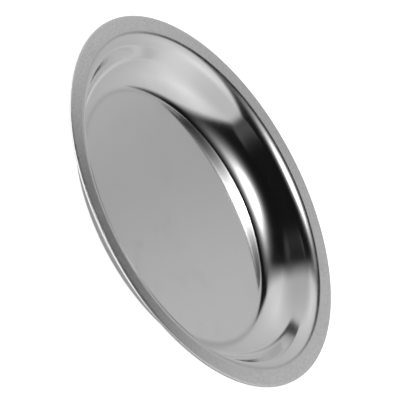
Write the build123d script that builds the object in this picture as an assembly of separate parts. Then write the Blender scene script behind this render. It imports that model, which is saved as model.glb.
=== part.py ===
from build123d import *
import os
from math import radians, sin, tan

# A shallow round dish, pressed from one disc of stainless sheet. The sheet's upper face runs as
# one line from the middle of the floor, round a wide bend, up the wall and over a tighter bend
# into a flat flange, and the sheet's thickness lies below that line. The dish rests on the
# underside of its floor, at z = 0, and +Z is its axis of symmetry.

# Driving dimensions, in millimetres and degrees
rim_diameter = 150.0
flange_width = 9.6  # from the rim in to the sharp corner between the flange and the wall
bowl_depth = 14.0  # from the flange's upper face down to the floor's
wall_slope = 62.0  # of the straight part of the wall, from the horizontal
sheet = 1.0
floor_bend = 13.5  # radius of the upper face where the floor turns up into the wall
flange_bend = 6.0  # radius of the upper face where the wall turns out into the flange
edge_break = 0.3  # radius on both corners of the blanked rim
least_straight = 0.5  # straight wall that stays between the two bends

# Worked out from them
slope = radians(wall_slope)
rim_radius = rim_diameter / 2
wall_top_radius = rim_radius - flange_width
wall_foot_radius = wall_top_radius - bowl_depth / tan(slope)
floor_level = sheet
flange_level = floor_level + bowl_depth

# The bends share the wall's length, and both are drawn in alike on a wall too short for them
wall_length = bowl_depth / sin(slope)
wall_for_bends = (floor_bend + flange_bend) * tan(slope / 2)
bend_share = min(1.0, (wall_length - least_straight) / wall_for_bends)


def sheet_section():
    """Half section of the sheet, from the axis to the rim, on the XZ plane."""
    with BuildSketch(Plane.XZ) as section:
        with BuildLine():
            upper_face = FilletPolyline(
                (0, floor_level),
                (wall_foot_radius, floor_level),
                (wall_top_radius, flange_level),
                (rim_radius, flange_level),
                radius=[floor_bend * bend_share, flange_bend * bend_share],
            )
            offset(upper_face, amount=sheet, side=Side.RIGHT)
        make_face()
        rim_corners = section.vertices().sort_by(Axis.X)[-2:]
        fillet(rim_corners, radius=edge_break)
    return section.sketch


def make_dish():
    """The whole dish: the section turned once round the axis of symmetry."""
    return revolve(sheet_section(), axis=Axis.Z)


os.makedirs("parts", exist_ok=True)
export_step(make_dish(), "parts/dish.step")
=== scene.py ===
from math import cos, radians, sin, tan

import bpy
from mathutils import Matrix, Vector


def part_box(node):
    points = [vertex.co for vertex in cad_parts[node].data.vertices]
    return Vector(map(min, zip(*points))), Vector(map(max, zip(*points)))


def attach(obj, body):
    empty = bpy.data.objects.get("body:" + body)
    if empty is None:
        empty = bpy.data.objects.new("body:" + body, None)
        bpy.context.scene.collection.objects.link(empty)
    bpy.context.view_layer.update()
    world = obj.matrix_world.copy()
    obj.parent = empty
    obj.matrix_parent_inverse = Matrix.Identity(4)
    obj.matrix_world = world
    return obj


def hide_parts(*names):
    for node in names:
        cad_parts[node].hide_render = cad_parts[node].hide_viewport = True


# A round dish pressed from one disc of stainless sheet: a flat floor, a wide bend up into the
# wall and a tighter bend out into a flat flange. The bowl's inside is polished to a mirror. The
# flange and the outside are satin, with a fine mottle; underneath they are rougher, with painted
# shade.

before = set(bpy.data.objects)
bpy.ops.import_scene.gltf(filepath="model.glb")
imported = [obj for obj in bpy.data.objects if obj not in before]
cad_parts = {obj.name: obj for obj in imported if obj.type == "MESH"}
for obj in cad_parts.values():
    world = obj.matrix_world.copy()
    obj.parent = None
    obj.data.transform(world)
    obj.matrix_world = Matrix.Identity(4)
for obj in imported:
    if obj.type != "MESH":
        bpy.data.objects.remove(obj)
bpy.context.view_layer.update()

# Sizes of the dish, in metres and radians. The frame gives the rim and the height.
dish_low, dish_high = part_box("dish")
rim_radius = (dish_high.x - dish_low.x) / 2
height = dish_high.z - dish_low.z
sheet = 0.0010
flange_width = 0.0096  # from the rim in to the sharp corner between the flange and the wall
wall_slope = radians(62)
floor_bend = 0.0135
flange_bend = 0.0060
edge_break = 0.0003

# How finely the dish is cut into facets
steps_around = 320
steps_per_bend = 36
steps_per_edge = 6
longest_facet = 0.0010


# ---------------------------------------------------------------- nodes

def add(tree, kind, inputs=None, **settings):
    """A node with its settings, and with each input given as a value or as a link."""
    node = tree.nodes.new(kind)
    for name, value in settings.items():
        setattr(node, name, value)
    for key, value in (inputs or {}).items():
        give(tree, node.inputs[key], value)
    return node


def give(tree, socket, value):
    if isinstance(value, bpy.types.NodeSocket):
        tree.links.new(value, socket)
    else:
        socket.default_value = value


def maths(tree, operation, *values, clamp=False):
    """The result of one sum on numbers or sockets."""
    node = add(tree, "ShaderNodeMath", operation=operation, use_clamp=clamp)
    for socket, value in zip(node.inputs, values):
        give(tree, socket, value)
    return node.outputs[0]


def remap(tree, value, from_low, from_high, to_low=0.0, to_high=1.0, smooth=True):
    """The value carried from one range to another, and held at the ends."""
    node = add(tree, "ShaderNodeMapRange", interpolation_type="SMOOTHSTEP" if smooth else "LINEAR")
    for socket, number in zip(node.inputs, (value, from_low, from_high, to_low, to_high)):
        give(tree, socket, number)
    return node.outputs[0]


def mix(tree, factor, low, high):
    """Between two numbers, by a factor from 0 to 1."""
    node = add(tree, "ShaderNodeMix", data_type="FLOAT")
    give(tree, node.inputs["Factor"], factor)
    give(tree, node.inputs["A"], low)
    give(tree, node.inputs["B"], high)
    return node.outputs["Result"]


def vector(tree, x=0.0, y=0.0, z=0.0):
    return add(tree, "ShaderNodeCombineXYZ", {"X": x, "Y": y, "Z": z}).outputs[0]


def new_tree(name, kind, sockets):
    """A node tree with named sockets, each given as (name, IN or OUT, type)."""
    tree = bpy.data.node_groups.new(name, kind)
    for label, way, socket_type in sockets:
        tree.interface.new_socket(
            name=label, in_out=way + "PUT", socket_type="NodeSocket" + socket_type
        )
    return tree


# ---------------------------------------------------------------- the dish's shape

def section_corners(tree, size):
    """The sheet's section as sharp corners, from the axis out to the rim and back underneath.

    Each corner is its radius from the axis, its level, the radius that rounds it and the steps
    of that rounding. Under the sheet the corners move out, because the sheet has one thickness.
    """
    depth = maths(tree, "SUBTRACT", size["Height"], size["Sheet"])
    run = maths(tree, "DIVIDE", depth, maths(tree, "TANGENT", size["Wall Slope"]))
    wall_top = maths(tree, "SUBTRACT", size["Rim Radius"], size["Flange Width"])
    wall_foot = maths(tree, "SUBTRACT", wall_top, run)
    half_slope = maths(tree, "MULTIPLY", size["Wall Slope"], 0.5)
    shift = maths(tree, "MULTIPLY", size["Sheet"], maths(tree, "TANGENT", half_slope))
    bend, edge = size["Steps per Bend"], size["Steps per Edge"]
    return (
        (0.0, size["Sheet"], 0.0, 1),
        (wall_foot, size["Sheet"], size["Floor Bend"], bend),
        (wall_top, size["Height"], size["Flange Bend"], bend),
        (size["Rim Radius"], size["Height"], size["Edge Break"], edge),
        (size["Rim Radius"], depth, size["Edge Break"], edge),
        (
            maths(tree, "ADD", wall_top, shift),
            depth,
            maths(tree, "SUBTRACT", size["Flange Bend"], size["Sheet"]),
            bend,
        ),
        (
            maths(tree, "ADD", wall_foot, shift),
            0.0,
            maths(tree, "ADD", size["Floor Bend"], size["Sheet"]),
            bend,
        ),
        (0.0, 0.0, 0.0, 1),
    )


def by_index(tree, kind, values):
    """A field that gives each point in turn its own value."""
    node = add(tree, "GeometryNodeIndexSwitch", data_type=kind)
    while len(node.index_switch_items) < len(values):
        node.index_switch_items.new()
    give(tree, node.inputs["Index"], add(tree, "GeometryNodeInputIndex").outputs[0])
    for number, value in enumerate(values):
        give(tree, node.inputs[str(number)], value)
    return node.outputs[0]


def revolved_sheet_tree():
    """Rounds the corners of the section, cuts its straight runs and carries it round the rim."""
    sizes = (
        ("Rim Radius", "Float"),
        ("Height", "Float"),
        ("Sheet", "Float"),
        ("Flange Width", "Float"),
        ("Wall Slope", "Float"),
        ("Floor Bend", "Float"),
        ("Flange Bend", "Float"),
        ("Edge Break", "Float"),
        ("Longest Facet", "Float"),
        ("Steps Around", "Int"),
        ("Steps per Bend", "Int"),
        ("Steps per Edge", "Int"),
        ("Bowl Finish", "Material"),
        ("Sheet Finish", "Material"),
    )
    sockets = [("Geometry", "OUT", "Geometry")]
    sockets += [(name, "IN", kind) for name, kind in sizes]
    tree = new_tree("revolved_sheet", "GeometryNodeTree", sockets)
    size = add(tree, "NodeGroupInput").outputs
    corners = section_corners(tree, size)

    # The section is carried round a circle that runs along the rim, so its radii are measured
    # from there. A section's own Y points down on that circle.
    places = []
    for radius, level, _, _ in corners:
        from_rim = maths(tree, "SUBTRACT", radius, size["Rim Radius"])
        places.append(vector(tree, from_rim, maths(tree, "MULTIPLY", level, -1.0)))
    line = add(tree, "GeometryNodeMeshLine", {"Count": len(corners)})
    sharp = add(tree, "GeometryNodeSetPosition", {"Geometry": line.outputs[0]})
    give(tree, sharp.inputs["Position"], by_index(tree, "VECTOR", places))
    curve = add(tree, "GeometryNodeMeshToCurve", {"Mesh": sharp.outputs[0]})
    rounded = add(tree, "GeometryNodeFilletCurve", {"Curve": curve.outputs[0]}, mode="POLY")
    give(tree, rounded.inputs["Radius"], by_index(tree, "FLOAT", [c[2] for c in corners]))
    give(tree, rounded.inputs["Count"], by_index(tree, "INT", [c[3] for c in corners]))

    # A straight run is cut into as many facets as its length needs
    next_point = maths(tree, "ADD", add(tree, "GeometryNodeInputIndex").outputs[0], 1.0)
    here = add(tree, "GeometryNodeInputPosition").outputs[0]
    there = add(
        tree, "GeometryNodeFieldAtIndex", {"Index": next_point}, data_type="FLOAT_VECTOR"
    )
    give(tree, there.inputs["Value"], here)
    gap = add(tree, "ShaderNodeVectorMath", operation="DISTANCE")
    give(tree, gap.inputs[0], here)
    give(tree, gap.inputs[1], there.outputs[0])
    facets = maths(tree, "DIVIDE", gap.outputs["Value"], size["Longest Facet"])
    cut = add(tree, "GeometryNodeSubdivideCurve", {"Curve": rounded.outputs[0]})
    give(tree, cut.inputs["Cuts"], maths(tree, "FLOOR", facets))

    ring = add(tree, "GeometryNodeCurvePrimitiveCircle", mode="RADIUS")
    give(tree, ring.inputs["Radius"], size["Rim Radius"])
    give(tree, ring.inputs["Resolution"], size["Steps Around"])
    skin = add(tree, "GeometryNodeCurveToMesh", {"Curve": ring.outputs[0]})
    give(tree, skin.inputs["Profile Curve"], cut.outputs[0])
    closed = add(tree, "GeometryNodeMergeByDistance", {"Geometry": skin.outputs[0]})
    closed.inputs["Distance"].default_value = 1e-6
    smooth = add(tree, "GeometryNodeSetShadeSmooth", {"Geometry": closed.outputs[0]})

    # The bowl's finish goes on every face that looks up and lies inside the flange
    spot = add(tree, "ShaderNodeSeparateXYZ", {"Vector": here}).outputs
    flat_spot = vector(tree, spot["X"], spot["Y"])
    from_axis = add(tree, "ShaderNodeVectorMath", {0: flat_spot}, operation="LENGTH")
    wall_top = maths(tree, "SUBTRACT", size["Rim Radius"], size["Flange Width"])
    tangent_share = maths(tree, "TANGENT", maths(tree, "MULTIPLY", size["Wall Slope"], 0.5))
    bend_reach = maths(tree, "MULTIPLY", size["Flange Bend"], tangent_share)
    bowl_radius = maths(tree, "ADD", wall_top, bend_reach)
    inside = maths(tree, "LESS_THAN", from_axis.outputs["Value"], bowl_radius)
    facing = add(tree, "GeometryNodeInputNormal").outputs[0]
    facing = add(tree, "ShaderNodeSeparateXYZ", {"Vector": facing}).outputs
    upward = maths(tree, "GREATER_THAN", facing["Z"], 0.0)
    outer = add(tree, "GeometryNodeSetMaterial", {"Geometry": smooth.outputs[0]})
    give(tree, outer.inputs["Material"], size["Sheet Finish"])
    realised = add(tree, "GeometryNodeRealizeInstances", {"Geometry": outer.outputs[0]})
    inner = add(tree, "GeometryNodeSetMaterial", {"Geometry": realised.outputs[0]})
    give(tree, inner.inputs["Selection"], maths(tree, "MULTIPLY", inside, upward))
    give(tree, inner.inputs["Material"], size["Bowl Finish"])
    add(tree, "NodeGroupOutput", {"Geometry": inner.outputs[0]})
    return tree


def made_by(tree, name, values):
    """A plain mesh object that a geometry tree makes from named values."""
    holder = bpy.data.objects.new(name + "_holder", bpy.data.meshes.new(name + "_holder"))
    bpy.context.scene.collection.objects.link(holder)
    modifier = holder.modifiers.new(name, "NODES")
    modifier.node_group = tree
    keys = {item.name: item.identifier for item in tree.interface.items_tree}
    for label, value in values.items():
        modifier[keys[label]] = value
    graph = bpy.context.evaluated_depsgraph_get()
    mesh = bpy.data.meshes.new_from_object(
        holder.evaluated_get(graph), preserve_all_data_layers=True, depsgraph=graph
    )
    holder.modifiers.remove(modifier)
    bpy.data.objects.remove(holder)
    mesh.name = name
    piece = bpy.data.objects.new(name, mesh)
    bpy.context.scene.collection.objects.link(piece)
    return piece


# ---------------------------------------------------------------- finishes

steel_tone = 0.81  # how much light bare polished steel sends back
mirror_roughness = 0.055
satin_tone = 0.86
satin_roughness = 0.15
mirror_relief = {"ripples": 8e-6, "rings": 2.5e-7, "hairlines": 6e-8, "scratches": -4e-7}
satin_relief = {"mottle": 3.5e-6, "rings": 2e-6, "hairlines": 5e-7, "scratches": -7e-7}


def new_material(name):
    """A material with an empty tree but for its output."""
    material = bpy.data.materials.new(name)
    material.use_nodes = True
    tree = material.node_tree
    tree.nodes.clear()
    output = add(tree, "ShaderNodeOutputMaterial")
    return material, tree, output


def shared_group(name, inputs, outputs):
    """A shader group for several finishes: its tree, what it is given and what it gives back."""
    sockets = [(label, "IN", kind) for label, kind in inputs]
    sockets += [(label, "OUT", kind) for label, kind in outputs]
    tree = new_tree(name, "ShaderNodeTree", sockets)
    return tree, add(tree, "NodeGroupInput").outputs, add(tree, "NodeGroupOutput").inputs


def mask_group(name, masks):
    """A shader group that works out several masks from a place on the dish."""
    return shared_group(name, (("Place", "Vector"),), [(label, "Float") for label in masks])


def use_group(tree, group, **inputs):
    """The outputs of a shared group placed in a tree."""
    return add(tree, "ShaderNodeGroup", inputs, node_tree=group).outputs


def noise(tree, place, scale, detail=2.0, roughness=0.5):
    node = add(tree, "ShaderNodeTexNoise", {"Vector": place, "Scale": scale, "Detail": detail})
    node.inputs["Roughness"].default_value = roughness
    return node.outputs["Fac"]


def bell(tree, value, centre, width):
    """1 at the centre, falling away smoothly on both sides."""
    off = maths(tree, "DIVIDE", maths(tree, "SUBTRACT", value, centre), width)
    return maths(tree, "EXPONENT", maths(tree, "MULTIPLY", maths(tree, "POWER", off, 2.0), -1.0))


def from_axis(tree, place):
    """The distance from the dish's axis, the level, and the heading from the axis."""
    spot = add(tree, "ShaderNodeSeparateXYZ", {"Vector": place}).outputs
    flat = vector(tree, spot["X"], spot["Y"])
    radius = add(tree, "ShaderNodeVectorMath", {0: flat}, operation="LENGTH").outputs["Value"]
    heading = add(tree, "ShaderNodeVectorMath", {0: flat}, operation="NORMALIZE").outputs[0]
    return radius, spot["Z"], heading


def ring_place_group():
    """Coordinates for marks that run round the dish: slow along a ring and quick across it."""
    inputs = (("Place", "Vector"), ("Around", "Float"), ("Across", "Float"))
    tree, given, result = shared_group("ring_place", inputs, (("Place", "Vector"),))
    radius, level, heading = from_axis(tree, given["Place"])
    slow = add(tree, "ShaderNodeVectorMath", {0: heading}, operation="SCALE")
    give(tree, slow.inputs["Scale"], given["Around"])
    quick = maths(tree, "MULTIPLY", maths(tree, "ADD", radius, level), given["Across"])
    both = add(tree, "ShaderNodeVectorMath", {0: slow.outputs[0]}, operation="ADD")
    give(tree, both.inputs[1], vector(tree, z=quick))
    give(tree, result["Place"], both.outputs[0])
    return tree


def turned_grain_group(ring_place):
    """Hairlines left by polishing the dish as it turned, and the broader rings under them."""
    layers = (  # each as its name, its breaks round a ring, its lines per metre and its detail
        ("Hairlines", 14.0, 4200.0, 3.0),
        ("Rings", 7.0, 900.0, 2.0),
        ("Ripples", 1.8, 230.0, 1.0),
    )
    tree, given, result = mask_group("turned_grain", [layer[0] for layer in layers])
    for label, around, across, detail in layers:
        turned = use_group(tree, ring_place, Place=given["Place"], Around=around, Across=across)
        give(tree, result[label], noise(tree, turned[0], 1.0, detail, 0.6))
    return tree


def handling_group():
    """Hairline scratches in a few directions, soft smudges, a slow haze and a fine mottle."""
    scratch_headings = (0.35, 1.25, 2.5)
    scratches_per_metre = (90.0, 3200.0, 90.0)
    tree, given, result = mask_group("handling", ("Scratches", "Smudges", "Haze", "Mottle"))
    place = given["Place"]
    patches = remap(tree, noise(tree, place, 38.0, 2.0), 0.46, 0.68)
    total = 0.0
    for heading in scratch_headings:
        turned = add(tree, "ShaderNodeVectorRotate", {"Vector": place}, rotation_type="Z_AXIS")
        turned.inputs["Angle"].default_value = heading
        stretched = add(tree, "ShaderNodeVectorMath", {0: turned.outputs[0]}, operation="MULTIPLY")
        stretched.inputs[1].default_value = scratches_per_metre
        line = remap(tree, noise(tree, stretched.outputs[0], 1.0, 1.0), 0.71, 0.78)
        total = maths(tree, "ADD", line, total)
    give(tree, result["Scratches"], maths(tree, "MULTIPLY", total, patches, clamp=True))
    give(tree, result["Smudges"], remap(tree, noise(tree, place, 60.0, 5.0, 0.6), 0.48, 0.74))
    give(tree, result["Haze"], noise(tree, place, 22.0, 2.0))
    give(tree, result["Mottle"], remap(tree, noise(tree, place, 1250.0, 3.0, 0.65), 0.34, 0.66))
    return tree


def rim_wear_group():
    """Where the dish is rubbed bright: its cut edge, the crest of its bend and its resting ring."""
    tree, given, result = mask_group("rim_wear", ("Edge", "Crest", "Foot"))
    radius, level, _ = from_axis(tree, given["Place"])
    broken = remap(tree, noise(tree, given["Place"], 420.0, 3.0), 0.36, 0.60)
    edge_reach = maths(tree, "SUBTRACT", rim_radius, radius)
    near_edge = remap(tree, edge_reach, edge_break * 2.4, edge_break * 0.6)
    give(tree, result["Edge"], maths(tree, "MULTIPLY", near_edge, broken))
    crest_radius = rim_radius - flange_width + flange_bend * tan(wall_slope / 2) * 0.6
    top = remap(tree, level, height - flange_bend * 0.3, height)
    crest = maths(tree, "MULTIPLY", bell(tree, radius, crest_radius, flange_bend * 0.3), top)
    give(tree, result["Crest"], maths(tree, "MULTIPLY", crest, broken))
    floor_radius = rim_radius - flange_width - height / tan(wall_slope)
    resting = bell(tree, radius, floor_radius - floor_bend * 0.8, floor_bend * 0.4)
    low = remap(tree, level, edge_break, 0.0)
    foot = maths(tree, "MULTIPLY", resting, low)
    give(tree, result["Foot"], maths(tree, "MULTIPLY", foot, broken))
    return tree


def weighted(tree, start, *pairs):
    """A number with a share of each mask added to it."""
    total = start
    for mask, share in pairs:
        total = maths(tree, "MULTIPLY_ADD", mask, share, total)
    return total


def bumps(tree, *layers):
    """Layers of relief, each as its height from 0 to 1 and its depth in metres."""
    normal = None
    for relief, depth in layers:
        node = add(tree, "ShaderNodeBump", {"Height": relief, "Distance": depth})
        if normal is not None:
            give(tree, node.inputs["Normal"], normal)
        normal = node.outputs["Normal"]
    return normal


def grey(tree, tone):
    return add(tree, "ShaderNodeCombineColor", {"Red": tone, "Green": tone, "Blue": tone}).outputs[0]


def steel(tree, output, tone, roughness, normal):
    """Bare stainless steel over the three things the finish gives it."""
    shader = add(tree, "ShaderNodeBsdfPrincipled", {"Base Color": grey(tree, tone)})
    shader.inputs["Metallic"].default_value = 1.0
    give(tree, shader.inputs["Roughness"], roughness)
    give(tree, shader.inputs["Normal"], normal)
    tree.links.new(shader.outputs[0], output.inputs["Surface"])


def mirror_bowl(groups):
    """The inside: polished to a mirror on its floor, with turned rings up the wall."""
    material, tree, output = new_material("mirror_bowl")
    place = add(tree, "ShaderNodeTexCoord").outputs["Object"]
    grain = use_group(tree, groups["grain"], Place=place)
    marks = use_group(tree, groups["handling"], Place=place)
    wear = use_group(tree, groups["wear"], Place=place)
    radius, level, _ = from_axis(tree, place)
    wall = remap(tree, level, sheet * 1.3, height * 0.5)
    lip = remap(tree, radius, rim_radius - flange_width, rim_radius - flange_width * 0.6)
    tone = weighted(tree, steel_tone, (marks["Haze"], -0.02), (marks["Smudges"], -0.015))
    roughness = weighted(
        tree,
        mirror_roughness,
        (wall, 0.055),
        (lip, 0.03),
        (grain["Hairlines"], 0.02),
        (marks["Smudges"], 0.04),
        (marks["Scratches"], 0.12),
        (wear["Crest"], 0.03),
    )
    ripples = maths(tree, "MULTIPLY", grain["Ripples"], wall)
    normal = bumps(
        tree,
        (ripples, mirror_relief["ripples"]),
        (grain["Rings"], mirror_relief["rings"]),
        (grain["Hairlines"], mirror_relief["hairlines"]),
        (marks["Scratches"], mirror_relief["scratches"]),
    )
    steel(tree, output, tone, roughness, normal)
    return material


def satin_sheet(groups):
    """The flange, the cut edge and the outside: the sheet's own finish, rougher underneath, where
    painted shade also darkens the colour.
    """
    material, tree, output = new_material("satin_sheet")
    place = add(tree, "ShaderNodeTexCoord").outputs["Object"]
    grain = use_group(tree, groups["grain"], Place=place)
    marks = use_group(tree, groups["handling"], Place=place)
    wear = use_group(tree, groups["wear"], Place=place)
    _, level, _ = from_axis(tree, place)
    underside_rough_and_painted_shade = remap(tree, level, height - sheet * 0.5, height - sheet)
    tone = weighted(
        tree,
        satin_tone,
        # Painted shade: the colour of the sheet's underside is darkened
        (underside_rough_and_painted_shade, -0.08),
        (marks["Haze"], -0.02),
        (marks["Smudges"], -0.02),
        (grain["Rings"], -0.04),
        (marks["Mottle"], -0.08),
        (wear["Edge"], 0.05),
        (wear["Foot"], 0.06),
    )
    roughness = weighted(
        tree,
        satin_roughness,
        (underside_rough_and_painted_shade, 0.16),
        (grain["Hairlines"], 0.05),
        (marks["Smudges"], 0.05),
        (marks["Scratches"], 0.15),
        (wear["Edge"], 0.08),
        (wear["Foot"], -0.08),
    )
    normal = bumps(
        tree,
        (marks["Mottle"], satin_relief["mottle"]),
        (grain["Rings"], satin_relief["rings"]),
        (grain["Hairlines"], satin_relief["hairlines"]),
        (marks["Scratches"], satin_relief["scratches"]),
    )
    steel(tree, output, tone, roughness, normal)
    return material


# ---------------------------------------------------------------- the stage

# Inside the tent, places are in rim radii from the dish's underside: X along the camera's level,
# Y away from the camera and Z up.
tent_size = 6.0  # from the dish to each wall, and up to the roof
on_wall = tent_size - 0.01  # a place further out than this is on that wall
tent_half = tent_size * rim_radius
table_half = 40 * rim_radius
lamp_strength = 6.2
darkest = 0.007  # what the unlit parts of the tent still send back
paper_white = 0.85  # what brings the table up to white for the camera


def lamp_glow(tree, spot):
    """A long lamp behind the roof cloth, brightest in its middle and fading into the cloth."""
    centre = (-0.55, 1.35)
    half = (0.05, 0.35)
    fade_low = (0.42, 0.76)
    fade_high = (0.52, 0.92)
    reaches = []
    for axis, middle, side, low, high in zip("XY", centre, half, fade_low, fade_high):
        off = maths(tree, "SUBTRACT", spot[axis], middle)
        past = maths(tree, "SUBTRACT", maths(tree, "ABSOLUTE", off), side)
        beyond = maths(tree, "GREATER_THAN", off, 0.0)
        fade = mix(tree, beyond, low, high)
        reaches.append(maths(tree, "DIVIDE", maths(tree, "MAXIMUM", past, 0.0), fade))
    reach = add(tree, "ShaderNodeVectorMath", {0: vector(tree, *reaches)}, operation="LENGTH")
    reach = maths(tree, "POWER", reach.outputs["Value"], 1.1)
    fall = maths(tree, "EXPONENT", maths(tree, "MULTIPLY", reach, -1.0))
    roof = maths(tree, "GREATER_THAN", spot["Z"], on_wall)
    return maths(tree, "MULTIPLY", maths(tree, "MULTIPLY", fall, roof), lamp_strength)


def edge(tree, inside, softness):
    """1 where a signed distance is well inside a cloth's edge, and 0 well outside it."""
    return remap(tree, maths(tree, "DIVIDE", inside, softness), -1.0, 1.0)


def opening(tree, from_back, from_roof, start, spread, power, slant):
    """How far from the middle a side cloth begins: further to the front, less far lower down."""
    widening = maths(tree, "MULTIPLY", maths(tree, "POWER", from_back, power), spread)
    at_roof = maths(tree, "ADD", widening, start)
    return maths(tree, "MULTIPLY_ADD", from_roof, -slant, at_roof)


def cloth_panels(tree, spot):
    """Where the cloth hangs. Its two sides leave an opening above that widens to the front."""
    from_back = maths(tree, "SUBTRACT", tent_size, spot["Y"])
    from_roof = maths(tree, "SUBTRACT", tent_size, spot["Z"])
    left_start = opening(tree, from_back, from_roof, 1.74, 0.13, 2.0, 0.68)
    leftward = maths(tree, "MULTIPLY", spot["X"], -1.0)
    left_softness = maths(tree, "MULTIPLY_ADD", from_back, 0.24, 0.25)
    left_edge = edge(tree, maths(tree, "SUBTRACT", leftward, left_start), left_softness)
    right_start = opening(tree, from_back, from_roof, 1.34, 0.125, 1.44, 0.41)
    right_edge = edge(tree, maths(tree, "SUBTRACT", spot["X"], right_start), 0.45)
    sides = maths(tree, "MAXIMUM", left_edge, right_edge)
    back_top = maths(tree, "MULTIPLY_ADD", from_back, -0.53, 4.13)
    sag = maths(tree, "MULTIPLY", maths(tree, "POWER", spot["X"], 2.0), 0.07)
    below_top = maths(tree, "SUBTRACT", back_top, maths(tree, "ADD", spot["Z"], sag))
    return maths(tree, "MAXIMUM", sides, edge(tree, below_top, 0.22))


def cloth_tone(tree, spot):
    """How brightly the cloth is lit: more towards the roof, and by a lamp behind each side."""
    up = maths(tree, "POWER", maths(tree, "DIVIDE", spot["Z"], tent_size), 2.0)
    tone = maths(tree, "MULTIPLY_ADD", up, 0.15, 0.49)
    tone = maths(tree, "MULTIPLY_ADD", spot["X"], 0.008, tone)
    left = maths(tree, "MULTIPLY", spot["X"], -1 / tent_size, clamp=True)
    left_lamp = maths(tree, "MULTIPLY", left, bell(tree, spot["Y"], 4.3, 2.8))
    tone = maths(tree, "MULTIPLY_ADD", left_lamp, 0.20, tone)
    right = maths(tree, "MULTIPLY", spot["X"], 1 / tent_size, clamp=True)
    right_lamp = maths(tree, "MULTIPLY", right, bell(tree, spot["Y"], 1.2, 2.9))
    tone = maths(tree, "MULTIPLY_ADD", right_lamp, 0.22, tone)
    back = remap(tree, spot["Y"], tent_size / 2, tent_size)
    fold = maths(tree, "MULTIPLY", back, bell(tree, spot["X"], -0.32, 0.55))
    return maths(tree, "MULTIPLY_ADD", fold, -0.11, tone)


def front_card(tree, spot):
    """A low grey card across the front, for the light that comes back from that side."""
    card_top = 1.9
    card_glow = 0.34
    front = maths(tree, "LESS_THAN", spot["Y"], -on_wall)
    below = maths(tree, "SUBTRACT", card_top, spot["Z"])
    card = maths(tree, "MULTIPLY", front, edge(tree, below, 0.5))
    return maths(tree, "MULTIPLY", card, card_glow)


def window(tree, wall, across, up, glow):
    """A soft light on one wall, with its two directions each as a place, a centre and a width."""
    shape = maths(tree, "MULTIPLY", bell(tree, *across), bell(tree, *up))
    return maths(tree, "MULTIPLY", maths(tree, "MULTIPLY", shape, wall), glow)


def dim_windows(tree, spot):
    """Two dim, soft windows: one in the front, to the right, and one high on the left."""
    front = maths(tree, "LESS_THAN", spot["Y"], -on_wall)
    left = maths(tree, "LESS_THAN", spot["X"], -on_wall)
    front_glow = window(tree, front, (spot["X"], 3.5, 1.1), (spot["Z"], 4.4, 1.6), 0.085)
    left_glow = window(tree, left, (spot["Y"], -3.2, 1.6), (spot["Z"], 4.2, 1.1), 0.055)
    return maths(tree, "ADD", front_glow, left_glow)


def tent_cloth():
    material, tree, output = new_material("tent_cloth")
    place = add(tree, "ShaderNodeTexCoord").outputs["Object"]
    scaled = add(tree, "ShaderNodeVectorMath", {0: place}, operation="SCALE")
    scaled.inputs["Scale"].default_value = 1 / rim_radius
    spot = add(tree, "ShaderNodeSeparateXYZ", {0: scaled.outputs[0]}).outputs
    cloth = maths(tree, "MULTIPLY", cloth_panels(tree, spot), cloth_tone(tree, spot))
    light = maths(tree, "ADD", maths(tree, "ADD", cloth, lamp_glow(tree, spot)), darkest)
    light = maths(tree, "ADD", light, front_card(tree, spot))
    light = maths(tree, "ADD", light, dim_windows(tree, spot))
    glow = add(tree, "ShaderNodeEmission", {"Strength": light})
    tree.links.new(glow.outputs[0], output.inputs["Surface"])
    return material


def box_room(name, half, top):
    """Four walls and a ceiling that stand round the dish."""
    turns = ((-1, -1), (1, -1), (1, 1), (-1, 1))
    corners = [(x * half, y * half, z) for z in (0, top) for x, y in turns]
    walls = [(i, (i + 1) % 4, (i + 1) % 4 + 4, i + 4) for i in range(4)]
    mesh = bpy.data.meshes.new(name)
    mesh.from_pydata(corners, [], [*walls, (4, 5, 6, 7)])
    room = bpy.data.objects.new(name, mesh)
    bpy.context.scene.collection.objects.link(room)
    return room


def make_tent():
    tent = box_room("light_tent", tent_half, tent_half)
    tent.data.materials.append(tent_cloth())
    tent.visible_camera = False
    tent.visible_shadow = False


def table_top():
    """White paper with a painted shadow that dims it under the dish and to its right, and clear when
    seen from below.
    """
    material, tree, output = new_material("table_paper")
    place = add(tree, "ShaderNodeTexCoord").outputs["Object"]
    flat = add(tree, "ShaderNodeVectorMath", {0: place}, operation="LENGTH")
    out = maths(tree, "DIVIDE", flat.outputs["Value"], rim_radius)
    # Painted shadow: the paper's light is dimmed under the dish, and more to its right, for all but
    # camera rays
    painted_shadow_light = remap(tree, out, 0.78, 1.25, 0.18, 0.95)
    right = add(tree, "ShaderNodeSeparateXYZ", {"Vector": place}).outputs["X"]
    painted_shadow_right = remap(tree, right, rim_radius * 0.25, rim_radius * 0.75, 1.0, 0.08)
    painted_shadow_light = maths(tree, "MULTIPLY", painted_shadow_light, painted_shadow_right)
    open_light = maths(tree, "MULTIPLY", painted_shadow_light, remap(tree, out, 1.6, 3.2, 1.0, 0.55))
    seen = add(tree, "ShaderNodeLightPath").outputs["Is Camera Ray"]
    strength = mix(tree, seen, open_light, paper_white)
    shader = add(tree, "ShaderNodeBsdfPrincipled", {"Emission Strength": strength})
    shader.inputs["Base Color"].default_value = (0.8, 0.8, 0.8, 1.0)
    shader.inputs["Roughness"].default_value = 0.6
    shader.inputs["Specular IOR Level"].default_value = 0.0
    shader.inputs["Emission Color"].default_value = (1.0, 1.0, 1.0, 1.0)
    below = add(tree, "ShaderNodeNewGeometry").outputs["Backfacing"]
    clear = add(tree, "ShaderNodeBsdfTransparent")
    either = add(tree, "ShaderNodeMixShader", {0: below})
    tree.links.new(shader.outputs[0], either.inputs[1])
    tree.links.new(clear.outputs[0], either.inputs[2])
    tree.links.new(either.outputs[0], output.inputs["Surface"])
    return material


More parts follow.
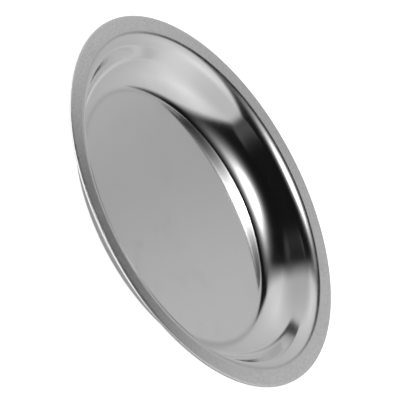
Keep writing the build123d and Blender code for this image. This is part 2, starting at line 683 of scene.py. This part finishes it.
def make_table():
    corners = [
        (x * table_half, y * table_half, -0.0002)
        for x, y in ((-1, -1), (1, -1), (1, 1), (-1, 1))
    ]
    mesh = bpy.data.meshes.new("table")
    mesh.from_pydata(corners, [], [(0, 1, 2, 3)])
    mesh.materials.append(table_top())
    table = bpy.data.objects.new("table", mesh)
    bpy.context.scene.collection.objects.link(table)


def make_world():
    """White behind everything, though it lights nothing: the tent and the table do that."""
    world = bpy.data.worlds.new("studio")
    world.use_nodes = True
    tree = world.node_tree
    seen = add(tree, "ShaderNodeLightPath").outputs["Is Camera Ray"]
    give(tree, tree.nodes["Background"].inputs["Strength"], seen)
    tree.nodes["Background"].inputs["Color"].default_value = (1.0, 1.0, 1.0, 1.0)
    bpy.context.scene.world = world
    bpy.context.scene.view_settings.view_transform = "Standard"


def make_camera():
    """Looks down the line along which the dish's rim shows as an ellipse half as wide as long."""
    elevation = radians(30.18)
    roll = radians(62.43)
    half_view = radians(0.7)
    frame_width = 1.975 * rim_radius
    towards = Vector((0.0, -cos(elevation), sin(elevation)))
    level_up = Vector((0.0, sin(elevation), cos(elevation)))
    along = Vector((1.0, 0.0, 0.0))
    right = along * cos(roll) + level_up * sin(roll)
    up = -along * sin(roll) + level_up * cos(roll)
    near_bulge = 0.0053  # the nearer half of the rim looks this much larger, in rim radii
    rim_middle = Vector((0.0, 0.0, height))
    aim = rim_middle + (up * 0.0045 - right * 0.0063 - level_up * near_bulge) * rim_radius
    camera = bpy.data.objects.new("camera", bpy.data.cameras.new("camera"))
    bpy.context.scene.collection.objects.link(camera)
    camera.data.sensor_width = 36.0
    camera.data.lens = camera.data.sensor_width / 2 / tan(half_view)
    distance = frame_width / 2 / tan(half_view)
    place = aim + towards * distance
    axes = Matrix((right, up, towards)).transposed().to_4x4()
    camera.matrix_world = Matrix.Translation(place) @ axes
    camera.data.clip_start = distance / 100
    camera.data.clip_end = distance * 100
    bpy.context.scene.camera = camera


# ---------------------------------------------------------------- making it all

make_camera()
make_world()
make_tent()
make_table()

shared_groups = {
    "grain": turned_grain_group(ring_place_group()),
    "handling": handling_group(),
    "wear": rim_wear_group(),
}
dish_values = {
    "Rim Radius": rim_radius,
    "Height": height,
    "Sheet": sheet,
    "Flange Width": flange_width,
    "Wall Slope": wall_slope,
    "Floor Bend": floor_bend,
    "Flange Bend": flange_bend,
    "Edge Break": edge_break,
    "Longest Facet": longest_facet,
    "Steps Around": steps_around,
    "Steps per Bend": steps_per_bend,
    "Steps per Edge": steps_per_edge,
    "Bowl Finish": mirror_bowl(shared_groups),
    "Sheet Finish": satin_sheet(shared_groups),
}
dish = made_by(revolved_sheet_tree(), "pressed_dish", dish_values)
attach(dish, "root")
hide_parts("dish")
